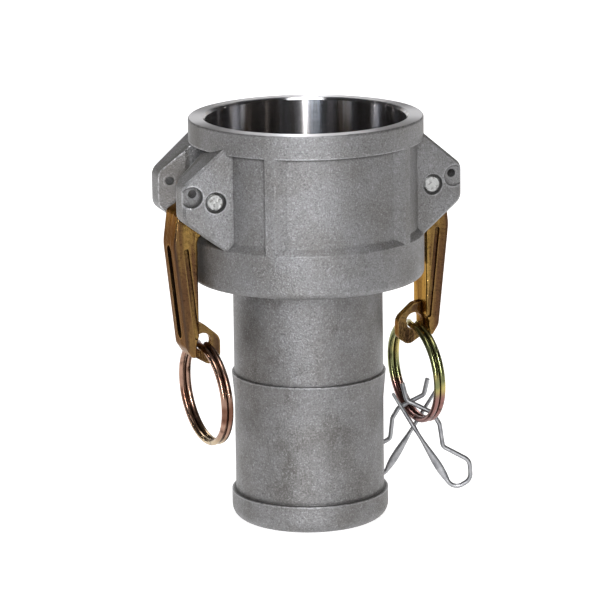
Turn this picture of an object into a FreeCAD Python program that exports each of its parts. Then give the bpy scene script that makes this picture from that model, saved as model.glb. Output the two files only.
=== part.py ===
import FreeCAD, Part
import math
import os

from FreeCAD import Vector

# Cam and groove coupling, DN50: a socket with two cam arms, on a hose shank.
# Millimetres. Z is the bore axis and points out of the socket's mouth, Z = 0 is the open end of the
# hose shank, and the two arms stand at +X and -X. The arms hang closed along the shank.

# Cast body, from the bottom up
WATERWAY_R = 19.5
END_R = 25.2
END_ROUND = 4.3
END_HEIGHT = 9.4
SHANK_R = 23.9
RING_R = 24.75
RING_START = 39.0
RING_SHOULDER = 48.3
SHANK_LENGTH = 79.4
ROOT_FILLET = 2.2
SOCKET_WALL = 5.35
SOCKET_EDGE_ROUND = 2.0
BAND_HEIGHT = 13.9
WAIST_HEIGHT = 30.3
RIM_HEIGHT = 7.4
RIM_EDGE_ROUND = 0.7
BORE_R = 31.9
MOUTH_CHAMFER = 0.9
FLOOR_THICKNESS = 4.6
SEAT_R = 24.2
SEAT_TAPER = 9.0
SHOULDER_ROUND = 0.3

# Shallow recesses in the waist of the socket, as angles from the middle of the front and back
RECESS_DEPTH = 1.75
RECESS_BOTTOM_SLOPE = 2.0
RECESS_TOP_SLOPE = 0.4
FRONT_RECESS_ANGLE = 29.6
FRONT_RECESS_END_SLOPE = 5.1
SIDE_RECESS_ANGLE = 41.2
SIDE_RECESS_END_SLOPE = 0.7
RECESS_EDGE_ROUND = 0.45
RECESS_FLOOR_ROUND = 0.6

# Gasket
GASKET_BORE_R = 25.4
GASKET_THICKNESS = 6.35
GASKET_EDGE_ROUND = 0.8
GASKET_RADIAL_CLEARANCE = 0.2
GROOVE_DEPTH = 1.5
GROOVE_HEADROOM = 0.35

# Cam arm pivots
PIN_R = 2.75
PIN_OUTSET = 4.3
PIN_ABOVE_GASKET = 18.5
PIN_LUG_CLEARANCE = 0.01
PIN_ARM_CLEARANCE = 0.08
PIN_RECESS = 0.5
PIN_DOME = 0.45
COUNTERBORE_CLEARANCE = 0.55
COUNTERBORE_DEPTH = 1.4

# Lugs, measured from the pivot
LUG_REACH = 10.2
LUG_TOP_SLOPE = 0.835
LUG_TOP_RISE = 5.7
LUG_BOTTOM_SLOPE = 0.773
LUG_BOTTOM_DROP = 5.6
LUG_CORNER_ROUND = 4.0
LUG_ROOT_INSET = 8.0
LUG_ROOT_HALF_WIDTH = 18.1
LUG_TAPER = 1.8
LUG_TIP_FLARE = 2.8
LUG_FLARE_START = 2.0
LUG_EDGE_CHAMFER = 0.8

# Safety clip holes in the lugs, measured from the pivot
CLIP_HOLE_R = 1.35
CLIP_HOLE_OUT = 6.8
CLIP_HOLE_UP = 2.95
SPOTFACE_R = 3.4
SPOTFACE_OUT = 7.4
SPOTFACE_UP = 2.1
SPOTFACE_DEEP = 1.8
SPOTFACE_SHALLOW = 0.6

# Cam arms: drops go down from the pivot, depths out from the arm's inner face, rises up from its tip
ARM_WIDTH = 11.6
ARM_SIDE_CLEARANCE = 0.4
ARM_SOCKET_CLEARANCE = 1.25
ARM_LENGTH = 51.9
ARM_NECK_DROP = 13.9
ARM_HEEL_DEPTH = 6.5
ARM_HEEL_DROP = 5.2
ARM_HEEL_ROUND = 2.0
ARM_SHOULDER_DEPTH = 7.9
ARM_SHOULDER_DROP = 15.6
ARM_SHOULDER_ROUND = 16.0
ARM_TOE_DEPTH = 4.35
ARM_TOE_RISE = 3.2
ARM_TOE_ROUND = 3.0
ARM_TIP_DEPTH = 2.3
ARM_TIP_ROUND = 0.8
ARM_FOOT_DEPTH = 0.8
ARM_FOOT_RISE = 4.4
ARM_FOOT_RAMP = 2.3
ARM_FOOT_ROUND = 1.0
ARM_EDGE_ROUND = 0.7

# The cam at the arm's head, from the pivot: reach is towards the bore axis
CAM_REACH = 9.1
CAM_NOSE_DROP = 4.2
CAM_FACE_REACH = 7.9
CAM_FACE_RISE = 3.4
CAM_CREST_OUT = 0.6
CAM_CREST_RISE = 4.6
CAM_BACK_OUT = 5.4
CAM_BACK_RISE = 1.2
CAM_NAPE_OUT = 5.6
CAM_NAPE_DROP = 3.6
CAM_NAPE_ROUND = 1.6
CAM_UNDERSIDE = 9.4
CAM_THROAT_REACH = 2.6
CAM_ROUND = 3.0
CAM_CREST_ROUND = 4.4

# Hollows in the arm, and the sill of the slot in the socket wall that its cam passes through
CHANNEL_WIDTH = 4.2
CHANNEL_DEPTH = 1.6
CHANNEL_TOP_DROP = 16.0
CHANNEL_BOTTOM_RISE = 5.4
SIDE_GROOVE_WIDTH = 1.6
SIDE_GROOVE_DEPTH = 0.7
SIDE_GROOVE_END_ROUND = 0.7
SIDE_GROOVE_INSET = 3.9
SIDE_GROOVE_TOP_DROP = 16.5
SIDE_GROOVE_BOTTOM_RISE = 5.9
SLOT_SILL = 2.2

# Eye plate at the foot of each arm, with its outline measured from the eye
EYE_THICKNESS = 3.0
EYE_HOLE_R = 2.85
EYE_RISE = 4.05
EYE_INSET = 2.5
EYE_RIM = 2.85
EYE_NECK_RISE = 6.6
EYE_SHOULDER_INSET = 0.2
EYE_SHOULDER_RISE = 5.9
EYE_SHOULDER_ROUND = 2.5
EYE_EDGE_RISE = 1.2
EYE_EDGE_DROP = 5.0
EYE_EDGE_ROUND = 4.0
EYE_TAIL_INSET = 2.3
EYE_TAIL_DROP = 7.9
EYE_TAIL_ROUND = 2.6
EYE_FOOT_DROP = 4.0

# Pull rings: a split ring of two turns side by side
RING_WIRE_R = 1.0
RING_TURN_R = 16.0
RING_HOLE_GAP = 0.35
RING_LEAN = 4.2
RING_YAW = 6.0
RING_END_ANGLE = 22.0
RING_STEP_ANGLE = 26.0

# Safety clips: bent spring wire, measured from the ring's wire along and across the straight leg
CLIP_WIRE_R = 0.75
CLIP_SEAT = 0.2
CLIP_LEG_TOP = 11.6
CLIP_LEG_OFFSET = 3.45
CLIP_TIP_TOP = 12.9
CLIP_TIP_LIFT = 1.0
CLIP_PINCH_TOP = 7.2
CLIP_PINCH = 0.75
CLIP_PINCH_ROUND = 2.0
CLIP_BARREL_START = 0.8
CLIP_BARREL_END = 5.2
CLIP_BARREL = 4.2
CLIP_BARREL_ROUND = 2.2
CLIP_WAIST_AT = 12.3
CLIP_WAIST = 1.2
CLIP_BEND_AT = 20.8
CLIP_BEND = 6.2
CLIP_BEND_NOSE = 3.2
CLIP_LENGTH = 26.6
CLIP_BEND_ROUND = 3.4
CLIP_LEG_TIP_R = 0.5
CLIP_FLAT_START = 2.0
CLIP_FLAT_MIDDLE = 11.0
CLIP_FLAT_MIDDLE_HALF_WIDTH = 0.95
CLIP_FLAT_MIDDLE_HALF_THICKNESS = 0.68
CLIP_FLAT_WIDEST = 19.5
CLIP_FLAT_WIDEST_HALF_WIDTH = 1.25
CLIP_FLAT_WIDEST_HALF_THICKNESS = 0.55
CLIP_FLAT_END = 23.0

# How each clip hangs on the right-hand ring
CLIP_PLANE_YAW = 20.0
FRONT_CLIP_RING_ANGLE = 0.0
FRONT_CLIP_LEAN = 30.9
FRONT_CLIP_TILT = 0.0
BACK_CLIP_RING_ANGLE = 20.0
BACK_CLIP_LEAN = 28.4
BACK_CLIP_TILT = 14.0

# How close an edge has to lie to a place to be taken as on it, and the shortest line in a wire
NEAR = 0.02
SHORTEST_LINE = 1e-6

# Places worked out from the sizes above
SOCKET_R = BORE_R + SOCKET_WALL
WAIST_BOTTOM = SHANK_LENGTH + BAND_HEIGHT
WAIST_TOP = WAIST_BOTTOM + WAIST_HEIGHT
TOP = WAIST_TOP + RIM_HEIGHT
FLOOR = SHANK_LENGTH + FLOOR_THICKNESS
GROOVE_R = BORE_R + GROOVE_DEPTH
GROOVE_TOP = FLOOR + GASKET_THICKNESS + GROOVE_HEADROOM
PIVOT_X = BORE_R + PIN_OUTSET
PIVOT_Z = FLOOR + GASKET_THICKNESS + PIN_ABOVE_GASKET
SLOT_HALF_WIDTH = ARM_WIDTH / 2 + ARM_SIDE_CLEARANCE
LUG_TIP_HALF_WIDTH = LUG_ROOT_HALF_WIDTH - LUG_TAPER
ARM_INNER_X = SOCKET_R + ARM_SOCKET_CLEARANCE
ARM_TIP_Z = PIVOT_Z - ARM_LENGTH
ARM_TAPER = (ARM_SHOULDER_DEPTH - ARM_TOE_DEPTH) / (ARM_LENGTH - ARM_TOE_RISE - ARM_SHOULDER_DROP)
EYE_X = ARM_INNER_X - EYE_INSET
EYE_Z = ARM_TIP_Z + EYE_RISE


def rounded_wire(points, place, closed=True):
    """A wire of straight lines through points (a, b, corner radius), with its corners as arcs."""
    count = len(points)
    entries = []
    exits = []
    middles = []
    for i, (a, b, radius) in enumerate(points):
        corner = Vector(a, b, 0)
        if radius == 0 or (not closed and i in (0, count - 1)):
            entries.append(corner)
            exits.append(corner)
            middles.append(None)
            continue
        before = Vector(points[i - 1][0], points[i - 1][1], 0) - corner
        after = Vector(points[(i + 1) % count][0], points[(i + 1) % count][1], 0) - corner
        before.normalize()
        after.normalize()
        half_angle = before.getAngle(after) / 2
        reach = radius / math.tan(half_angle)
        bisector = before + after
        bisector.normalize()
        entries.append(corner + before * reach)
        exits.append(corner + after * reach)
        middles.append(corner + bisector * (radius / math.sin(half_angle) - radius))
    edges = []
    for i in range(count):
        if middles[i] is not None:
            ends = [place(v.x, v.y) for v in (entries[i], middles[i], exits[i])]
            edges.append(Part.Arc(*ends).toShape())
        if i == count - 1 and not closed:
            break
        start = exits[i]
        end = entries[(i + 1) % count]
        if start.distanceToPoint(end) > SHORTEST_LINE:
            edges.append(Part.LineSegment(place(start.x, start.y), place(end.x, end.y)).toShape())
    return Part.Wire(edges)


def in_xz(y):
    """Places a point (a, b) at X = a, Z = b in the plane at the given Y."""
    return lambda a, b: Vector(a, y, b)


def in_xy(z):
    """Places a point (a, b) at X = a, Y = b in the plane at the given Z."""
    return lambda a, b: Vector(a, b, z)


def revolved(points):
    """A solid turned about Z from a profile of points (radius, height, corner radius)."""
    face = Part.Face(rounded_wire(points, in_xz(0)))
    return face.revolve(Vector(0, 0, 0), Vector(0, 0, 1), 360)


def plate(points, low_y, high_y):
    """A flat plate of an XZ outline between two Y values."""
    face = Part.Face(rounded_wire(points, in_xz(low_y)))
    return face.extrude(Vector(0, high_y - low_y, 0))


def drum(radius, height, x, y, z, axis):
    """A cylinder that starts at a point and runs along an axis."""
    return Part.makeCylinder(radius, height, Vector(x, y, z), axis)


def mirrored_x(shape):
    return shape.mirror(Vector(0, 0, 0), Vector(1, 0, 0))


def on_circle(radius, degrees):
    """A point on a circle about Z, with the angle counted from the front, which is -Y."""
    angle = math.radians(degrees)
    return radius * math.sin(angle), -radius * math.cos(angle)


def waist_recess(start, end, end_slope):
    """The space of one shallow recess in the waist, between two angles of its floor."""
    floor_r = SOCKET_R - RECESS_DEPTH
    outside_r = SOCKET_R + RECESS_DEPTH
    buried_r = floor_r - RECESS_DEPTH
    middle = (start + end) / 2
    corners = [on_circle(floor_r, start), on_circle(floor_r, middle), on_circle(floor_r, end),
               on_circle(outside_r, end + 2 * end_slope), on_circle(outside_r, middle),
               on_circle(outside_r, start - 2 * end_slope)]
    inner_a, inner_m, inner_b, outer_b, outer_m, outer_a = [Vector(x, y, WAIST_BOTTOM) for x, y in corners]
    outline = Part.Wire([
        Part.Arc(inner_a, inner_m, inner_b).toShape(),
        Part.LineSegment(inner_b, outer_b).toShape(),
        Part.Arc(outer_b, outer_m, outer_a).toShape(),
        Part.LineSegment(outer_a, inner_a).toShape(),
    ])
    block = Part.Face(outline).extrude(Vector(0, 0, WAIST_HEIGHT))
    section = [
        (buried_r, WAIST_BOTTOM + RECESS_BOTTOM_SLOPE, 0),
        (floor_r, WAIST_BOTTOM + RECESS_BOTTOM_SLOPE, 0),
        (outside_r, WAIST_BOTTOM - RECESS_BOTTOM_SLOPE, 0),
        (outside_r, WAIST_TOP + RECESS_TOP_SLOPE, 0),
        (floor_r, WAIST_TOP - RECESS_TOP_SLOPE, 0),
        (buried_r, WAIST_TOP - RECESS_TOP_SLOPE, 0),
    ]
    return block.common(revolved(section))


def recess_edges(shell, radius):
    """The upright and lower edges of the recesses that lie on a radius about Z."""
    found = []
    for edge in shell.Edges:
        box = edge.BoundBox
        middle = edge.valueAt((edge.FirstParameter + edge.LastParameter) / 2)
        in_waist = box.ZMin > WAIST_BOTTOM - NEAR and box.ZMax < WAIST_TOP + NEAR
        on_radius = abs(math.hypot(middle.x, middle.y) - radius) < NEAR
        under_rim = box.ZMin > WAIST_TOP - 2 * RECESS_TOP_SLOPE
        if in_waist and on_radius and not under_rim:
            found.append(edge)
    return found


def lug_plate():
    """One lug of the pair at +X, on the -Y side: flat in the slot, tapered outside and at its tip."""
    tip = PIVOT_X + LUG_REACH
    root = PIVOT_X - LUG_ROOT_INSET
    length = tip - root
    top = PIVOT_Z + LUG_TOP_RISE
    bottom = PIVOT_Z - LUG_BOTTOM_DROP
    side = plate([
        (root, top + length * LUG_TOP_SLOPE, 0),
        (tip, top, LUG_CORNER_ROUND),
        (tip, bottom, LUG_CORNER_ROUND),
        (root, bottom - length * LUG_BOTTOM_SLOPE, 0),
    ], -LUG_ROOT_HALF_WIDTH, 0)
    plan = Part.Face(rounded_wire([
        (root, -SLOT_HALF_WIDTH, 0),
        (PIVOT_X + LUG_FLARE_START, -SLOT_HALF_WIDTH, 0),
        (tip, -SLOT_HALF_WIDTH - LUG_TIP_FLARE, 0),
        (tip, -LUG_TIP_HALF_WIDTH, 0),
        (root, -LUG_ROOT_HALF_WIDTH, 0),
    ], in_xy(0))).extrude(Vector(0, 0, TOP))
    lug = side.common(plan)
    return lug.makeChamfer(LUG_EDGE_CHAMFER, free_edges(lug, -LUG_TIP_HALF_WIDTH))


def free_edges(lug, outer_y):
    """The edges round a lug's outer face, apart from the one buried in the socket wall."""
    buried = PIVOT_X - LUG_ROOT_INSET + LUG_EDGE_CHAMFER
    return [edge for edge in lug.Edges
            if edge.BoundBox.YMax < outer_y + NEAR and edge.BoundBox.XMax > buried]


def lug_face_y(out):
    """Half the width over a pair of lugs at a distance out from the pivot."""
    share = (out + LUG_ROOT_INSET) / (LUG_REACH + LUG_ROOT_INSET)
    return LUG_ROOT_HALF_WIDTH - share * LUG_TAPER


def lug_bores():
    """The pivot bore, its counterbores, the clip hole and the clip's spotfaces, for the lugs at +X."""
    along = Vector(0, 1, 0)
    half = LUG_ROOT_HALF_WIDTH
    width = 2 * half
    face = lug_face_y(0)
    counterbore_r = PIN_R + COUNTERBORE_CLEARANCE
    pivot = drum(PIN_R + PIN_LUG_CLEARANCE, width, PIVOT_X, -half, PIVOT_Z, along)
    near = drum(counterbore_r, half, PIVOT_X, -face + COUNTERBORE_DEPTH - half, PIVOT_Z, along)
    far = drum(counterbore_r, half, PIVOT_X, face - COUNTERBORE_DEPTH, PIVOT_Z, along)
    clip_x = PIVOT_X + CLIP_HOLE_OUT
    clip_hole = drum(CLIP_HOLE_R, width, clip_x, -half, PIVOT_Z + CLIP_HOLE_UP, along)
    spot_x = PIVOT_X + SPOTFACE_OUT
    spot_z = PIVOT_Z + SPOTFACE_UP
    spot_y = lug_face_y(SPOTFACE_OUT)
    shallow = drum(SPOTFACE_R, half, spot_x, -spot_y + SPOTFACE_SHALLOW - half, spot_z, along)
    deep = drum(SPOTFACE_R, half, spot_x, spot_y - SPOTFACE_DEEP, spot_z, along)
    return pivot.multiFuse([near, far, clip_hole, shallow, deep])


def body_casting():
    """The aluminium casting: hose shank, socket, waist recesses and two pairs of lugs."""
    shell = revolved([
        (WATERWAY_R, 0, 0),
        (END_R, 0, END_ROUND),
        (END_R, END_HEIGHT, SHOULDER_ROUND),
        (SHANK_R, END_HEIGHT, SHOULDER_ROUND),
        (SHANK_R, RING_START, 0),
        (RING_R, RING_SHOULDER, SHOULDER_ROUND),
        (SHANK_R, RING_SHOULDER, SHOULDER_ROUND),
        (SHANK_R, SHANK_LENGTH, ROOT_FILLET),
        (SOCKET_R, SHANK_LENGTH, SOCKET_EDGE_ROUND),
        (SOCKET_R, TOP, RIM_EDGE_ROUND),
        (BORE_R + MOUTH_CHAMFER, TOP, 0),
        (BORE_R, TOP - MOUTH_CHAMFER, 0),
        (BORE_R, GROOVE_TOP, 0),
        (GROOVE_R, GROOVE_TOP, 0),
        (GROOVE_R, FLOOR, 0),
        (SEAT_R, FLOOR, 0),
        (WATERWAY_R, FLOOR - SEAT_TAPER, 0),
    ])
    front = waist_recess(-FRONT_RECESS_ANGLE, FRONT_RECESS_ANGLE, FRONT_RECESS_END_SLOPE)
    side = waist_recess(SIDE_RECESS_ANGLE, 180 - SIDE_RECESS_ANGLE, SIDE_RECESS_END_SLOPE)
    half_turn = [shape.rotated(Vector(0, 0, 0), Vector(0, 0, 1), 180) for shape in (front, side)]
    shell = shell.cut([front, side] + half_turn)
    shell = shell.makeFillet(RECESS_EDGE_ROUND, recess_edges(shell, SOCKET_R))
    shell = shell.makeFillet(RECESS_FLOOR_ROUND, recess_edges(shell, SOCKET_R - RECESS_DEPTH))

    near = lug_plate()
    far = near.mirror(Vector(0, 0, 0), Vector(0, 1, 0))
    lugs = [near, far, mirrored_x(near), mirrored_x(far)]
    shell = shell.multiFuse(lugs)

    up = Vector(0, 0, 1)
    bore = drum(BORE_R, TOP, 0, 0, GROOVE_TOP, up)
    groove = drum(GROOVE_R, GROOVE_TOP - FLOOR, 0, 0, FLOOR, up)
    slot_bottom = WAIST_BOTTOM + SLOT_SILL
    slot = Part.makeBox(2 * SOCKET_R, 2 * SLOT_HALF_WIDTH, WAIST_TOP - slot_bottom,
                        Vector(-SOCKET_R, -SLOT_HALF_WIDTH, slot_bottom))
    bores = lug_bores()
    other_bores = bores.rotated(Vector(0, 0, 0), Vector(0, 0, 1), 180)
    return shell.cut([bore, groove, slot, bores, other_bores])


def gasket():
    """The flat rubber gasket, in its groove on the floor of the socket."""
    outer_r = GROOVE_R - GASKET_RADIAL_CLEARANCE
    top = FLOOR + GASKET_THICKNESS
    return revolved([
        (GASKET_BORE_R, FLOOR, 0),
        (outer_r, FLOOR, 0),
        (outer_r, top, GASKET_EDGE_ROUND),
        (GASKET_BORE_R, top, GASKET_EDGE_ROUND),
    ])


def arm_outline():
    """The side outline of the arm at +X, from its heel round to its cam."""
    inner = ARM_INNER_X
    tip = ARM_TIP_Z
    x = PIVOT_X
    z = PIVOT_Z
    return [
        (inner + ARM_HEEL_DEPTH, z - ARM_HEEL_DROP, ARM_HEEL_ROUND),
        (inner + ARM_SHOULDER_DEPTH, z - ARM_SHOULDER_DROP, ARM_SHOULDER_ROUND),
        (inner + ARM_TOE_DEPTH, tip + ARM_TOE_RISE, ARM_TOE_ROUND),
        (inner + ARM_TIP_DEPTH, tip, ARM_TIP_ROUND),
        (inner + ARM_FOOT_DEPTH, tip, ARM_TIP_ROUND),
        (inner + ARM_FOOT_DEPTH, tip + ARM_FOOT_RISE, ARM_FOOT_ROUND),
        (inner, tip + ARM_FOOT_RISE + ARM_FOOT_RAMP, ARM_FOOT_ROUND),
        (inner, z - ARM_NECK_DROP, CAM_ROUND),
        (x - CAM_THROAT_REACH, z - CAM_UNDERSIDE, CAM_ROUND),
        (x - CAM_REACH, z - CAM_NOSE_DROP, CAM_ROUND),
        (x - CAM_FACE_REACH, z + CAM_FACE_RISE, CAM_ROUND),
        (x + CAM_CREST_OUT, z + CAM_CREST_RISE, CAM_CREST_ROUND),
        (x + CAM_BACK_OUT, z + CAM_BACK_RISE, CAM_ROUND),
        (x + CAM_NAPE_OUT, z - CAM_NAPE_DROP, CAM_NAPE_ROUND),
    ]


def outer_face_x(z):
    """Where the arm's outer face lies at a height below its shoulder."""
    return ARM_INNER_X + ARM_SHOULDER_DEPTH - ARM_TAPER * (PIVOT_Z - ARM_SHOULDER_DROP - z)


def arm_channel():
    """The long hollow down the arm's outer face, which follows that face's slope."""
    top = PIVOT_Z - CHANNEL_TOP_DROP
    length = top - ARM_TIP_Z - CHANNEL_BOTTOM_RISE
    half = CHANNEL_WIDTH / 2
    slot = Part.Face(rounded_wire([
        (-half, -length, half),
        (half, -length, half),
        (half, 0, half),
        (-half, 0, half),
    ], lambda a, b: Vector(-CHANNEL_DEPTH, a, b))).extrude(Vector(3 * CHANNEL_DEPTH, 0, 0))
    slot.rotate(Vector(0, 0, 0), Vector(0, 1, 0), math.degrees(math.atan(ARM_TAPER)))
    slot.translate(Vector(outer_face_x(top), 0, top))
    return slot


def arm_side_groove():
    """The shallow hollow along one side of the arm, on the -Y face."""
    half = SIDE_GROOVE_WIDTH / 2
    top = PIVOT_Z - SIDE_GROOVE_TOP_DROP
    bottom = ARM_TIP_Z + SIDE_GROOVE_BOTTOM_RISE
    top_x = outer_face_x(top) - SIDE_GROOVE_INSET
    bottom_x = outer_face_x(bottom) - SIDE_GROOVE_INSET
    return plate([
        (top_x - half, top, SIDE_GROOVE_END_ROUND),
        (top_x + half, top, SIDE_GROOVE_END_ROUND),
        (bottom_x + half, bottom, SIDE_GROOVE_END_ROUND),
        (bottom_x - half, bottom, SIDE_GROOVE_END_ROUND),
    ], -ARM_WIDTH, -ARM_WIDTH / 2 + SIDE_GROOVE_DEPTH)


def eye_plate():
    """The thin plate on the arm's inner side that holds the pull ring."""
    edge = EYE_X - EYE_HOLE_R - EYE_RIM
    inside = ARM_INNER_X + (ARM_FOOT_DEPTH + ARM_TIP_DEPTH) / 2
    return plate([
        (inside, EYE_Z + EYE_NECK_RISE, 0),
        (EYE_X - EYE_SHOULDER_INSET, EYE_Z + EYE_SHOULDER_RISE, EYE_SHOULDER_ROUND),
        (edge, EYE_Z + EYE_EDGE_RISE, EYE_EDGE_ROUND),
        (edge, EYE_Z - EYE_EDGE_DROP, EYE_TAIL_ROUND),
        (EYE_X - EYE_TAIL_INSET, EYE_Z - EYE_TAIL_DROP, EYE_TAIL_ROUND),
        (inside, EYE_Z - EYE_FOOT_DROP, 0),
    ], -EYE_THICKNESS / 2, EYE_THICKNESS / 2)


def cam_arm():
    """The arm at +X: cam head, handle and eye in one forging."""
    handle = plate(arm_outline(), -ARM_WIDTH / 2, ARM_WIDTH / 2)
    rims = [edge for edge in handle.Edges if edge.BoundBox.YLength < NEAR]
    handle = handle.makeFillet(ARM_EDGE_ROUND, rims)
    groove = arm_side_groove()
    cuts = [arm_channel(), groove, groove.mirror(Vector(0, 0, 0), Vector(0, 1, 0))]
    cuts.append(drum(PIN_R + PIN_ARM_CLEARANCE, ARM_WIDTH, PIVOT_X, -ARM_WIDTH / 2, PIVOT_Z, Vector(0, 1, 0)))
    arm = handle.cut(cuts).fuse(eye_plate())
    hole = drum(EYE_HOLE_R, EYE_THICKNESS, EYE_X, -EYE_THICKNESS / 2, EYE_Z, Vector(0, 1, 0))
    return arm.cut(hole)


def cam_pin():
    """The pivot pin at +X, with slightly domed ends just below the faces of the lugs."""
    half = lug_face_y(0) - PIN_RECESS
    section = Part.Face(rounded_wire([
        (0, -half, 0),
        (PIN_R - PIN_DOME, -half, 0),
        (PIN_R, -half + PIN_DOME, 0),
        (PIN_R, half - PIN_DOME, 0),
        (PIN_R - PIN_DOME, half, 0),
        (0, half, 0),
    ], lambda a, b: Vector(PIVOT_X + a, b, PIVOT_Z)))
    return section.revolve(Vector(PIVOT_X, 0, PIVOT_Z), Vector(0, 1, 0), 360)


def ring_frame(side):
    """The ring's top point in its eye and its three directions: along its axis, across and up."""
    drop = math.sqrt((EYE_HOLE_R - RING_WIRE_R - RING_HOLE_GAP) ** 2 - RING_WIRE_R ** 2)
    yaw = math.radians(RING_YAW)
    lean = math.radians(RING_LEAN)
    axis = Vector(math.cos(lean) * math.cos(yaw), math.cos(lean) * math.sin(yaw), math.sin(lean))
    across = Vector(-math.sin(yaw), math.cos(yaw), 0)
    up = axis.cross(across)
    top = Vector(side * EYE_X, 0, EYE_Z - drop)
    return top, axis, across, up


def ring_point(side, degrees, offset=0.0, radius=RING_TURN_R):
    """A point on the ring's wire, with the angle counted from its lowest point towards +Y."""
    top, axis, across, up = ring_frame(side)
    centre = top - up * RING_TURN_R
    angle = math.radians(degrees)
    return centre + across * (radius * math.sin(angle)) - up * (radius * math.cos(angle)) + axis * offset


def pull_ring(side):
    """A split ring: one wire wound twice round, stepping across to its second turn near the eye."""
    start = 180 - RING_END_ANGLE
    sweep = 360 - RING_STEP_ANGLE
    end = start - sweep
    low = -RING_WIRE_R
    high = RING_WIRE_R

    def turn(first, last, offset):
        middle = (first + last) / 2
        return Part.Arc(ring_point(side, first, offset), ring_point(side, middle, offset),
                        ring_point(side, last, offset)).toShape()

    first_turn = turn(start, end, low)
    second_turn = turn(end - RING_STEP_ANGLE, end - RING_STEP_ANGLE - sweep, high)
    step = Part.BSplineCurve()
    step_end = end - RING_STEP_ANGLE
    step_points = [ring_point(side, end, low), ring_point(side, (end + step_end) / 2, 0),
                   ring_point(side, step_end, high)]
    tangents = []
    for degrees in (end, step_end):
        ahead = ring_point(side, degrees - 1, 0)
        here = ring_point(side, degrees, 0)
        direction = ahead - here
        direction.normalize()
        tangents.append(direction)
    step.interpolate(Points=step_points, InitialTangent=tangents[0], FinalTangent=tangents[1])
    path = Part.Wire([first_turn, step.toShape(), second_turn])
    begin = ring_point(side, start, low)
    heading = ring_point(side, start - 1, low) - begin
    circle = Part.Wire(Part.makeCircle(RING_WIRE_R, begin, heading))
    return path.makePipeShell([circle], True, False)


def clip_frame(ring_degrees, lean, tilt, mirror):
    """A clip's place on the ring's wire, and its directions down the straight leg and across it."""
    yaw = math.radians(CLIP_PLANE_YAW)
    side = Vector(math.cos(yaw), -math.sin(yaw), 0)
    back = Vector(math.sin(yaw), math.cos(yaw), 0)
    tip = math.radians(tilt)
    up = Vector(0, 0, 1) * math.cos(tip) - back * math.sin(tip)
    right = side * mirror
    angle = math.radians(lean)
    along = right * math.sin(angle) - up * math.cos(angle)
    over = right * math.cos(angle) + up * math.sin(angle)
    return ring_point(1, ring_degrees), along, over


def safety_clip(ring_degrees, lean, tilt, mirror):
    """One spring clip on the ring: a wire bent from its loose end, and a straight leg hammered flat."""
    hook, along, over = clip_frame(ring_degrees, lean, tilt, mirror)
    across = along.cross(over)

    def place(a, b):
        return hook + along * a + over * (b + CLIP_SEAT)

    def leg_section(a, half_width, half_thickness):
        centre = place(a, -CLIP_LEG_OFFSET)
        if half_width == half_thickness:
            return Part.Wire(Part.makeCircle(half_width, centre, along))
        return Part.Wire(Part.Ellipse(centre + over * half_width, centre + across * half_thickness, centre).toShape())

    path = rounded_wire([
        (-CLIP_TIP_TOP, CLIP_TIP_LIFT, 0),
        (-CLIP_PINCH_TOP, -CLIP_PINCH, CLIP_PINCH_ROUND),
        (CLIP_BARREL_START, CLIP_BARREL, CLIP_BARREL_ROUND),
        (CLIP_BARREL_END, CLIP_BARREL, CLIP_BARREL_ROUND),
        (CLIP_WAIST_AT, CLIP_WAIST, CLIP_BARREL_ROUND),
        (CLIP_BEND_AT, CLIP_BEND, CLIP_BEND_ROUND),
        (CLIP_LENGTH, CLIP_BEND_NOSE, CLIP_BEND_ROUND),
        (CLIP_LENGTH, -CLIP_LEG_OFFSET, CLIP_BEND_ROUND),
        (CLIP_FLAT_END, -CLIP_LEG_OFFSET, 0),
    ], place, closed=False)
    first = path.OrderedEdges[0]
    start = first.valueAt(first.FirstParameter)
    heading = first.tangentAt(first.FirstParameter)
    circle = Part.Wire(Part.makeCircle(CLIP_WIRE_R, start, heading))
    bent = path.makePipeShell([circle], True, False)
    flat = Part.makeLoft([
        leg_section(CLIP_FLAT_END, CLIP_WIRE_R, CLIP_WIRE_R),
        leg_section(CLIP_FLAT_WIDEST, CLIP_FLAT_WIDEST_HALF_WIDTH, CLIP_FLAT_WIDEST_HALF_THICKNESS),
        leg_section(CLIP_FLAT_MIDDLE, CLIP_FLAT_MIDDLE_HALF_WIDTH, CLIP_FLAT_MIDDLE_HALF_THICKNESS),
        leg_section(CLIP_FLAT_START, CLIP_WIRE_R, CLIP_WIRE_R),
    ], True, False)
    leg_end = Part.makeCone(CLIP_WIRE_R, CLIP_LEG_TIP_R, CLIP_FLAT_START + CLIP_LEG_TOP,
                            place(CLIP_FLAT_START, -CLIP_LEG_OFFSET), along * -1)
    return bent.multiFuse([flat, leg_end])


def build():
    arm = cam_arm()
    pin = cam_pin()
    parts = {
        "body_casting": body_casting(),
        "gasket": gasket(),
        "cam_arm_right": arm,
        "cam_arm_left": mirrored_x(arm),
        "cam_pin_right": pin,
        "cam_pin_left": mirrored_x(pin),
        "pull_ring_right": pull_ring(1),
        "pull_ring_left": pull_ring(-1),
        "safety_clip_front": safety_clip(FRONT_CLIP_RING_ANGLE, FRONT_CLIP_LEAN, FRONT_CLIP_TILT, 1),
        "safety_clip_back": safety_clip(BACK_CLIP_RING_ANGLE, BACK_CLIP_LEAN, BACK_CLIP_TILT, -1),
    }
    os.makedirs("parts", exist_ok=True)
    for name, shape in parts.items():
        shape = shape.removeSplitter()
        print(name, "solids", len(shape.Solids), "valid", shape.isValid(), "volume", round(shape.Volume, 1))
        shape.exportStep("parts/" + name + ".step")


build()
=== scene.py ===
import math

import bpy
from mathutils import Matrix, Vector


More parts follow.
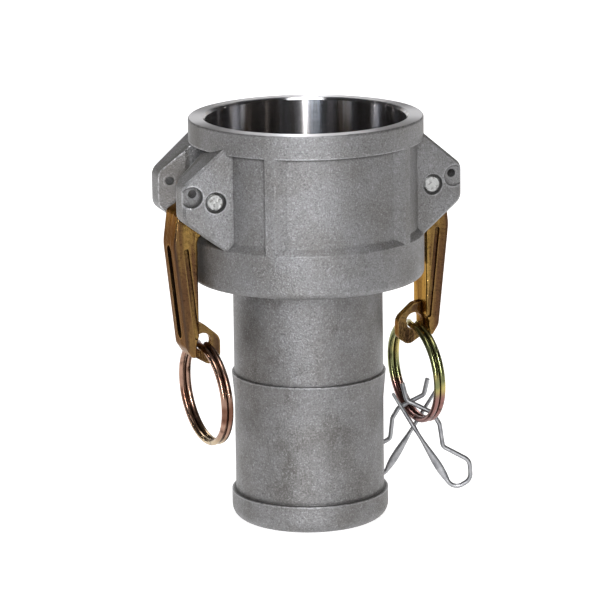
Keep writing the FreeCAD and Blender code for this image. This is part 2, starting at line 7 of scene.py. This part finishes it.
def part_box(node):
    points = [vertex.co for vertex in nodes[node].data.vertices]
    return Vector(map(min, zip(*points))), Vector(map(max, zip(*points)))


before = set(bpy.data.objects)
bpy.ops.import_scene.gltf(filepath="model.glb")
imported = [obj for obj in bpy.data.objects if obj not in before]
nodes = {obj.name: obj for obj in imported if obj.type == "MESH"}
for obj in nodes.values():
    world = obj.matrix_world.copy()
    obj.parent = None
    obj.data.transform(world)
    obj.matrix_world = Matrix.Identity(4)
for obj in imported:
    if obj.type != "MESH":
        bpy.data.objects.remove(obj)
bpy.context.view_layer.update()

# The body casting. Sand-cast aluminium, shot blasted all over, so its skin is a dull mid grey with a
# fine grain and a few smudges from handling. The bore, the rim's top and the gasket's seat are turned
# on a lathe afterwards and stay bright, with fine rings from the tool.
CAST_GREY = (0.218, 0.216, 0.219)
CAST_SHADE = (0.163, 0.157, 0.152)
CAST_SMUDGE_AND_SHADE = (0.090, 0.082, 0.074)
CAST_FLECK_AND_HIGHLIGHT = (0.58, 0.58, 0.60)
CAST_PIT_AND_SHADE = (0.060, 0.058, 0.056)
TURNED_GREY = (0.36, 0.36, 0.385)
TURNED_LIGHT = (0.68, 0.68, 0.71)
TURNED_PAINTED_SHADE = (0.27, 0.235, 0.200)
BORE_RADIUS = 0.0335
BORE_FLOOR = 0.0838
RIM_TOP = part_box("body_casting")[1].z
SKIN_DEPTH = 0.0001
SOCKET_BOTTOM = 0.0794
SHADE_BAND = 0.004
SLOT_SIDE = (0.0095, 0.0088)
SLOT_BACK = (0.0365, 0.0372)
PIN_X = 0.0362
PIN_Z = 0.10885
PIN_BORE = 0.0033
CLIP_X = 0.0430
CLIP_Z = 0.11180
CLIP_BORE = 0.0017
HOLE_FADE = 1.07
EDGE_SAMPLES = 8


class Signal:
    """A shader socket that takes part in arithmetic: each operation adds a Math node."""

    def __init__(self, finish, socket):
        self.finish = finish
        self.socket = socket

    def math(self, operation, *others):
        inputs = dict(enumerate((self,) + others))
        node = self.finish.node("ShaderNodeMath", {"operation": operation}, inputs)
        return Signal(self.finish, node.outputs[0])

    def __add__(self, other):
        return self.math("ADD", other)

    def __sub__(self, other):
        return self.math("SUBTRACT", other)

    def __rsub__(self, other):
        return (self * -1) + other

    def __mul__(self, other):
        return self.math("MULTIPLY", other)

    __radd__ = __add__

    def between(self, low, high):
        """0 below low and 1 above high, with a smooth rise; low may be the larger of the two."""
        node = self.finish.node("ShaderNodeMapRange", {"interpolation_type": "SMOOTHSTEP"},
                                {"Value": self, "From Min": low, "From Max": high})
        return Signal(self.finish, node.outputs["Result"])


class Finish:
    """A material, its Principled shader, and the nodes that vary it over the surface."""

    def __init__(self, name, **constants):
        self.material = bpy.data.materials.new(name)
        self.material.use_nodes = True
        self.tree = self.material.node_tree
        self.shader = self.tree.nodes["Principled BSDF"]
        for socket, value in constants.items():
            self.shader.inputs[socket.replace("_", " ")].default_value = value
        self.place = self.node("ShaderNodeTexCoord").outputs["Object"]
        axes = self.node("ShaderNodeSeparateXYZ", {}, {0: self.place}).outputs
        self.x, self.y, self.z = [Signal(self, axes[i]) for i in range(3)]

    def node(self, kind, settings=None, inputs=None):
        """Adds a node of a kind, with its settings, and with values or links for its sockets."""
        node = self.tree.nodes.new(kind)
        for name, value in (settings or {}).items():
            setattr(node, name, value)
        for name, value in (inputs or {}).items():
            source = value.socket if isinstance(value, Signal) else value
            if isinstance(source, bpy.types.NodeSocket):
                self.tree.links.new(source, node.inputs[name])
            else:
                node.inputs[name].default_value = source
        return node

    def noise(self, size, detail=2.0, roughness=0.5, stretch=(1, 1, 1)):
        """Cloudy noise from 0 to 1 with features of a size in metres."""
        place = self.node("ShaderNodeMapping", {}, {"Vector": self.place, "Scale": stretch}).outputs[0]
        node = self.node("ShaderNodeTexNoise", {},
                         {"Vector": place, "Scale": 1 / size, "Detail": detail, "Roughness": roughness})
        return Signal(self, node.outputs["Fac"])

    def mix(self, share, low, high):
        """A colour between two colours."""
        low, high = [(*c, 1.0) if isinstance(c, tuple) else c for c in (low, high)]
        node = self.node("ShaderNodeMix", {"data_type": "RGBA"}, {0: share, 6: low, 7: high})
        return node.outputs[2]

    def feed(self, **sources):
        """Links sources to the shader's sockets."""
        for socket, source in sources.items():
            source = source.socket if isinstance(source, Signal) else source
            self.tree.links.new(source, self.shader.inputs[socket.replace("_", " ")])

    def bump(self, height, depth):
        """Raises the surface by a height from 0 to 1, with a depth in metres."""
        return self.node("ShaderNodeBump", {}, {"Height": height, "Distance": depth}).outputs[0]

    def near_edge(self, reach, inside):
        """Up to about 0.5 within a reach in metres of an edge: of a ridge if inside, else of a corner."""
        settings = {"samples": EDGE_SAMPLES, "inside": inside, "only_local": True}
        node = self.node("ShaderNodeAmbientOcclusion", settings, {"Distance": reach})
        return 1 - Signal(self, node.outputs["AO"])

    def give_to(self, piece):
        piece.data.materials.clear()
        piece.data.materials.append(self.material)


def round_hole(finish, x, z, radius):
    """1 within a radius of a line along Y through the lugs at either side, fading out just past it."""
    across = finish.x.math("ABSOLUTE") - x
    up = finish.z - z
    return (across * across + up * up).between((radius * HOLE_FADE) ** 2, radius ** 2)


def cast_finish():
    cast = Finish("cast_aluminium")
    grain = cast.noise(0.0005, detail=2.0, roughness=0.7)
    grit = cast.noise(0.0012, detail=2.0)
    cloud = cast.noise(0.016, detail=4.0, roughness=0.6)
    smear = cast.noise(0.012, detail=5.0, roughness=0.65, stretch=(1, 1, 0.6))
    shank = cast.z.between(SOCKET_BOTTOM, SOCKET_BOTTOM - SHADE_BAND)
    speckle = (grain - 0.5) * 1.6 + (grit - 0.5) * 0.4 + 0.5
    skin = cast.mix(cloud.between(0.35, 0.7), CAST_GREY, CAST_SHADE)
    # Besides the smudges, the shank below the socket is painted darker all over, and its smudges are
    # stronger.
    skin = cast.mix(smear.between(0.5, 0.72) * (0.1 + shank * 0.5) + shank * 0.12, skin, CAST_SMUDGE_AND_SHADE)
    skin = cast.mix(speckle.between(0.5, 0.95) * 0.36, skin, CAST_FLECK_AND_HIGHLIGHT)
    skin = cast.mix(speckle.between(0.52, 0.05) * 0.7, skin, CAST_PIT_AND_SHADE)
    # Painted shade in the slot between the lugs and on the lugs' inner faces.
    between_lugs = cast.y.math("ABSOLUTE").between(*SLOT_SIDE)
    in_slot = between_lugs * cast.x.math("ABSOLUTE").between(*SLOT_BACK)
    skin = cast.mix(in_slot * 0.6, skin, CAST_SMUDGE_AND_SHADE)
    # Painted shade in the corners and along inside edges of the casting.
    skin = cast.mix(cast.near_edge(0.0016, False).between(0.08, 0.4) * 0.85, skin, CAST_PIT_AND_SHADE)
    pin_hole = round_hole(cast, PIN_X, PIN_Z, PIN_BORE)
    clip_hole = round_hole(cast, CLIP_X, CLIP_Z, CLIP_BORE)
    # Painted shade round the pivot pins, in the gap of their bores.
    skin = cast.mix(pin_hole * 0.6, skin, CAST_PIT_AND_SHADE)
    # A painted highlight along ridges and outside edges, which also stands for wear; none at the pin and
    # clip holes.
    worn_edge_highlight = cast.near_edge(0.0008, True).between(0.06, 0.3) * grit.between(0.25, 0.55)
    worn_edge_highlight = worn_edge_highlight * (1 - pin_hole) * (1 - clip_hole)
    cast.feed(
        Base_Color=cast.mix(worn_edge_highlight * 0.4, skin, CAST_FLECK_AND_HIGHLIGHT),
        Metallic=speckle * 0.2 + worn_edge_highlight * 0.2 + 0.66,
        Roughness=(cloud - 0.5) * 0.08 + 0.48 - worn_edge_highlight * 0.15,
        Normal=cast.bump(speckle, 0.00014),
    )
    return cast


def turned_finish():
    """Metal turned on a lathe, whose fine rings about Z draw each light out into an upright streak, with
    upright streaks of painted shade laid over it.
    """
    turned = Finish("turned_aluminium", Metallic=1.0, Anisotropic=1.0, Anisotropic_Rotation=0.25)
    rings = turned.noise(0.0005, detail=3.0, stretch=(0.02, 0.02, 1))
    dark_patches = turned.noise(0.005, detail=4.0, roughness=0.65, stretch=(1, 1, 0.04))
    on_top = turned.z.between(RIM_TOP - 3 * SKIN_DEPTH, RIM_TOP - SKIN_DEPTH)
    bright = turned.mix(rings, TURNED_GREY, TURNED_LIGHT)
    # Painted shade: darker upright streaks down the turned walls, standing for reflections, and the rim's
    # top painted a quarter of the way darker.
    painted_shade_share = dark_patches.between(0.42, 0.62) * (1 - on_top) * 0.7 + on_top * 0.25
    turned.feed(
        Base_Color=turned.mix(painted_shade_share, bright, TURNED_PAINTED_SHADE),
        Roughness=rings * 0.05 + on_top * 0.18 + 0.175,
    )
    return turned


casting = nodes["body_casting"]
cast_finish().give_to(casting)
casting.data.materials.append(turned_finish().material)
for face in casting.data.polygons:
    x, y, z = face.center
    faces_axis = face.normal.x * x + face.normal.y * y <= 0
    in_bore = math.hypot(x, y) < BORE_RADIUS and z > BORE_FLOOR
    if z > RIM_TOP - SKIN_DEPTH or (in_bore and faces_axis):
        face.material_index = 1

# The gasket. Black nitrile rubber, moulded flat and sprung into its groove on the socket's floor. It
# has a dull skin with a little talc left on it.
RUBBER_BLACK = (0.012, 0.012, 0.013)
RUBBER_BLOOM = (0.05, 0.05, 0.052)


def gasket_finish():
    rubber = Finish("gasket_rubber", Roughness=0.6)
    talc = rubber.noise(0.004, detail=4.0)
    rubber.feed(
        Base_Color=rubber.mix(talc.between(0.45, 0.8), RUBBER_BLACK, RUBBER_BLOOM),
        Normal=rubber.bump(rubber.noise(0.0008), 0.00005),
    )
    return rubber


gasket_finish().give_to(nodes["gasket"])

# The pivot pins. Turned steel, pressed through the lugs, with domed ends that carry a few dark pits.
PIN_GREY = (0.58, 0.58, 0.57)
PIN_PIT = (0.12, 0.11, 0.10)


def pin_finish():
    pin = Finish("pin_steel", Metallic=1.0)
    pits = pin.noise(0.0012, detail=3.0)
    pin.feed(
        Base_Color=pin.mix(pits.between(0.52, 0.68) * 0.75, PIN_GREY, PIN_PIT),
        Roughness=pits * 0.3 + 0.28,
        Normal=pin.bump(pits, 0.0003),
    )
    return pin


pin_steel = pin_finish()
for name in ("cam_pin_right", "cam_pin_left"):
    pin_steel.give_to(nodes[name])

# The cam arms. Forged bronze, tumbled smooth, brown and redder along the outer bead, with painted gold
# highlights on the ridges, partly for wear, and painted shade in the hollows, on outer faces and eye
# plates.
BRONZE_GOLD_HIGHLIGHT = (0.60, 0.38, 0.13)
BRONZE_BROWN = (0.39, 0.24, 0.070)
BRONZE_RED = (0.13, 0.066, 0.032)
BRONZE_PAINTED_SHADE = (0.070, 0.041, 0.028)
BRONZE_MOTTLE_AND_SHADE = (0.018, 0.010, 0.007)
BRONZE_RIM = (0.62, 0.49, 0.40, 1)
ARM_SHOULDER_X = 0.0464
ARM_SHOULDER_Z = 0.09325
ARM_TAPER = 0.107
ARM_BEAD = 0.0039
EYE_HALF_THICKNESS = 0.0016
BEAD_SIDE = (ARM_BEAD, ARM_BEAD - 0.0012)
OUTER_FACE = (0.0014, 0.0003)
EYE_FACE = (0.0035, 0.0045)


def arm_finish():
    bronze = Finish("arm_bronze", Metallic=1.0, Specular_Tint=BRONZE_RIM)
    patch = bronze.noise(0.005, detail=4.0, roughness=0.6, stretch=(1, 1, 0.14))
    fine = bronze.noise(0.0009, detail=3.0)
    below = (ARM_SHOULDER_Z - bronze.z).math("MAXIMUM", 0)
    depth = ARM_SHOULDER_X - below * ARM_TAPER - bronze.x.math("ABSOLUTE")
    colour = bronze.mix(patch.between(0.40, 0.60), BRONZE_BROWN, BRONZE_RED)
    # Redder along the outer bead, towards the outer face.
    colour = bronze.mix(depth.between(*BEAD_SIDE) * 0.6, colour, BRONZE_RED)
    # Painted shade on the outer faces, and below on the eye plates.
    colour = bronze.mix(depth.between(*OUTER_FACE), colour, BRONZE_PAINTED_SHADE)
    eye = bronze.y.math("ABSOLUTE").between(EYE_HALF_THICKNESS * 1.1, EYE_HALF_THICKNESS)
    colour = bronze.mix(eye * depth.between(*EYE_FACE) * 0.6, colour, BRONZE_PAINTED_SHADE)
    colour = bronze.mix(fine.between(0.5, 0.8) * 0.5, colour, BRONZE_MOTTLE_AND_SHADE)
    # Painted shade in the hollows and corners of the arms.
    colour = bronze.mix(bronze.near_edge(0.0025, False).between(0.12, 0.5) * 0.9, colour, BRONZE_MOTTLE_AND_SHADE)
    # A painted highlight of gold along the ridges, which also stands for wear.
    worn_edge_highlight = bronze.near_edge(0.0009, True).between(0.12, 0.4) * patch.between(0.4, 0.6)
    bronze.feed(
        Base_Color=bronze.mix(worn_edge_highlight * 0.35, colour, BRONZE_GOLD_HIGHLIGHT),
        Roughness=patch * 0.24 + 0.10,
        Normal=bronze.bump(fine * 0.5 + patch * 2, 0.00022),
    )
    return bronze


arm_bronze = arm_finish()
for name in ("cam_arm_right", "cam_arm_left"):
    arm_bronze.give_to(nodes[name])

# The pull rings. Split rings of steel wire, zinc plated and yellow passivated, so the film shows gold,
# green and pink where its thickness changes.
RING_GOLD = (0.40, 0.33, 0.12)
RING_GREEN = (0.19, 0.20, 0.090)
RING_PINK = (0.23, 0.118, 0.105)
RING_TAN = (0.34, 0.21, 0.155)
RING_BROWN = (0.16, 0.075, 0.050)
RING_CREAM = (0.42, 0.32, 0.20)
RING_STAIN_AND_SHADE = (0.035, 0.020, 0.012)
RING_RIGHT_LOW = 0.0415
RING_LEFT_LOW = 0.0330


def ring_finish(name, first, second, low, low_from):
    """Plating in two colours, with a third below a height, dark stains, and painted shade in the corners.
    """
    zinc = Finish(name, Metallic=1.0)
    film = zinc.noise(0.010, detail=2.0)
    dark_patches = zinc.noise(0.005, detail=2.0)
    colour = zinc.mix(film.between(0.42, 0.58), first, second)
    colour = zinc.mix((zinc.z + film * 0.006).between(low_from + 0.003, low_from - 0.001), colour, low)
    colour = zinc.mix(dark_patches.between(0.55, 0.72) * 0.85, colour, RING_STAIN_AND_SHADE)
    # Painted shade in the corners where the wire's turns lie against each other.
    colour = zinc.mix(zinc.near_edge(0.0009, False).between(0.15, 0.5) * 0.8, colour, RING_STAIN_AND_SHADE)
    zinc.feed(Base_Color=colour, Roughness=dark_patches * 0.2 + 0.14)
    return zinc


right_zinc = ring_finish("ring_zinc_right", RING_GOLD, RING_GREEN, RING_PINK, RING_RIGHT_LOW)
right_zinc.give_to(nodes["pull_ring_right"])
left_zinc = ring_finish("ring_zinc_left", RING_TAN, RING_BROWN, RING_CREAM, RING_LEFT_LOW)
left_zinc.give_to(nodes["pull_ring_left"])

# The safety clips. Bright spring steel wire, bent cold, with faint draw marks along it.
CLIP_GREY = (0.33, 0.33, 0.34)
CLIP_DULL = (0.20, 0.20, 0.21)


def clip_finish():
    wire = Finish("clip_steel", Metallic=1.0)
    dull = wire.noise(0.003, detail=3.0)
    wire.feed(
        Base_Color=wire.mix(dull.between(0.4, 0.75), CLIP_GREY, CLIP_DULL),
        Roughness=dull * 0.2 + 0.32,
    )
    return wire


clip_steel = clip_finish()
for name in ("safety_clip_front", "safety_clip_back"):
    clip_steel.give_to(nodes[name])

# The stage. A white floor that keeps the soft shadow, a white backdrop behind the part, which metal
# shows too, and a dim room with soft lamps: one in front, a cooler one beside it, narrow strips at
# the sides, one overhead and one behind the part.
FLOOR_SIZE = 6.0
CAMERA_PLACE = (-0.3887, -1.0680, 0.3391)
CAMERA_TARGET = (0.0, 0.0, 0.06831)
CAMERA_ROLL = math.radians(-0.71)
CAMERA_LENS = 213.7
CAMERA_NEAR = 0.01
FLOOR_GLOW = 0.85
WORLD_LEVEL = 0.05
BACKDROP_EDGE = (0.62, 0.93)
BACKDROP_TOP = (0.55, 0.25)
FLOOR_EDGE = (-0.30, 0.05)
FLOOR_FADE = (0.25, 0.8)
FLOOR_PAINT = (0.8, 0.8, 0.8, 1)
PURE_WHITE = (1, 1, 1, 1)


def stage_math(tree, operation, *inputs):
    """Adds a Math node to a tree, with values or links for its sockets."""
    node = tree.nodes.new("ShaderNodeMath")
    node.operation = operation
    for i, source in enumerate(inputs):
        if isinstance(source, bpy.types.NodeSocket):
            tree.links.new(source, node.inputs[i])
        else:
            node.inputs[i].default_value = source
    return node.outputs[0]


def stage_ramp(tree, source, edge):
    """0 before the first value of an edge and 1 past its second, with a smooth rise."""
    node = tree.nodes.new("ShaderNodeMapRange")
    node.interpolation_type = "SMOOTHSTEP"
    tree.links.new(source, node.inputs["Value"])
    node.inputs["From Min"].default_value, node.inputs["From Max"].default_value = edge
    return node.outputs["Result"]


def white_where_seen(tree, unseen, backdrop):
    """A strength of 1 to the camera and in reflections of the backdrop, and another for the light."""
    path = tree.nodes.new("ShaderNodeLightPath").outputs
    mirrored = stage_math(tree, "MAXIMUM", path["Is Glossy Ray"], path["Is Transmission Ray"])
    in_mirror = stage_math(tree, "MULTIPLY", mirrored, backdrop)
    share = stage_math(tree, "MAXIMUM", path["Is Camera Ray"], in_mirror)
    return stage_math(tree, "MULTIPLY_ADD", share, 1 - unseen, unseen)


def distance_away(tree, place):
    """How far a place or heading lies behind the part, as the camera looks at it."""
    away = Vector(CAMERA_TARGET) - Vector(CAMERA_PLACE)
    away.z = 0
    node = tree.nodes.new("ShaderNodeVectorMath")
    node.operation = "DOT_PRODUCT"
    node.inputs[1].default_value = away.normalized()
    tree.links.new(place, node.inputs[0])
    return node.outputs["Value"]


bpy.ops.mesh.primitive_plane_add(size=FLOOR_SIZE)
floor = bpy.context.object
floor.name = "floor"
floor_paint = bpy.data.materials.new("floor_white")
floor_paint.use_nodes = True
paint = floor_paint.node_tree.nodes["Principled BSDF"]
paint.inputs["Base Color"].default_value = FLOOR_PAINT
paint.inputs["Roughness"].default_value = 1.0
paint.inputs["Specular IOR Level"].default_value = 0.0
paint.inputs["Emission Color"].default_value = PURE_WHITE
boards = floor_paint.node_tree
floor_place = boards.nodes.new("ShaderNodeTexCoord").outputs["Object"]
under_backdrop = stage_ramp(boards, distance_away(boards, floor_place), FLOOR_EDGE)
from_part = boards.nodes.new("ShaderNodeVectorMath")
from_part.operation = "LENGTH"
boards.links.new(floor_place, from_part.inputs[0])
far_off = stage_ramp(boards, from_part.outputs["Value"], FLOOR_FADE)
glow = stage_math(boards, "MULTIPLY_ADD", far_off, 1 - FLOOR_GLOW, FLOOR_GLOW)
seen = stage_math(boards, "MULTIPLY", white_where_seen(boards, 0.0, under_backdrop), glow)
boards.links.new(seen, paint.inputs["Emission Strength"])
floor.data.materials.append(floor_paint)

world = bpy.data.worlds.new("studio")
bpy.context.scene.world = world
world.use_nodes = True
sky = world.node_tree
heading = sky.nodes.new("ShaderNodeTexCoord").outputs["Generated"]
height = sky.nodes.new("ShaderNodeSeparateXYZ")
sky.links.new(heading, height.inputs[0])
backdrop = stage_math(sky, "MULTIPLY", stage_ramp(sky, distance_away(sky, heading), BACKDROP_EDGE),
                      stage_ramp(sky, height.outputs["Z"], BACKDROP_TOP))
sky.links.new(white_where_seen(sky, WORLD_LEVEL, backdrop), sky.nodes["Background"].inputs["Strength"])
sky.nodes["Background"].inputs["Color"].default_value = PURE_WHITE


def soft_lamp(name, place, size, watts, colour=(1, 1, 1)):
    """A lit rectangle that faces the part."""
    light = bpy.data.lights.new(name, "AREA")
    light.shape = "RECTANGLE"
    light.size, light.size_y = size
    light.energy = watts
    light.color = colour
    lamp = bpy.data.objects.new(name, light)
    bpy.context.scene.collection.objects.link(lamp)
    lamp.location = place
    lamp.rotation_mode = "QUATERNION"
    lamp.rotation_quaternion = (Vector(CAMERA_TARGET) - Vector(place)).to_track_quat("-Z", "Y")


LAMP_DISTANCE = 1.1
STRIP_WATTS = {123: 0.35, 97: 0.85, -88: 0.85, -121: 0.35}
STRIP_SIZE = (0.004, 0.8)
STRIP_HEIGHT = 0.42
WARM_WHITE = (1.0, 0.93, 0.86)
COOL_WHITE = (0.78, 0.88, 1.0)
camera_angle = math.atan2(CAMERA_PLACE[1], CAMERA_PLACE[0])


def place_beside_camera(degrees, height):
    """A place round the part from the camera, at the lamps' distance."""
    angle = camera_angle + math.radians(degrees)
    return LAMP_DISTANCE * math.cos(angle), LAMP_DISTANCE * math.sin(angle), height


soft_lamp("front", place_beside_camera(0.3, 0.42), (0.02, 0.8), 12)
soft_lamp("window", place_beside_camera(-10, 0.46), (0.26, 0.6), 2.4, COOL_WHITE)
soft_lamp("top", (-0.12, -0.34, 1.2), (0.5, 0.5), 5.5)
soft_lamp("rear", place_beside_camera(180, 1.1), (0.5, 0.5), 4)
for degrees, watts in STRIP_WATTS.items():
    strip_place = place_beside_camera(degrees, STRIP_HEIGHT)
    soft_lamp("strip%d" % degrees, strip_place, STRIP_SIZE, watts, WARM_WHITE)

camera_data = bpy.data.cameras.new("camera")
camera_data.lens = CAMERA_LENS
camera_data.clip_start = CAMERA_NEAR
camera = bpy.data.objects.new("camera", camera_data)
bpy.context.scene.collection.objects.link(camera)
bpy.context.scene.camera = camera
aim = (Vector(CAMERA_TARGET) - Vector(CAMERA_PLACE)).to_track_quat("-Z", "Y")
camera.rotation_mode = "QUATERNION"
camera.rotation_quaternion = aim @ Matrix.Rotation(CAMERA_ROLL, 4, "Z").to_quaternion()
camera.location = CAMERA_PLACE

bpy.context.scene.view_settings.view_transform = "Standard"
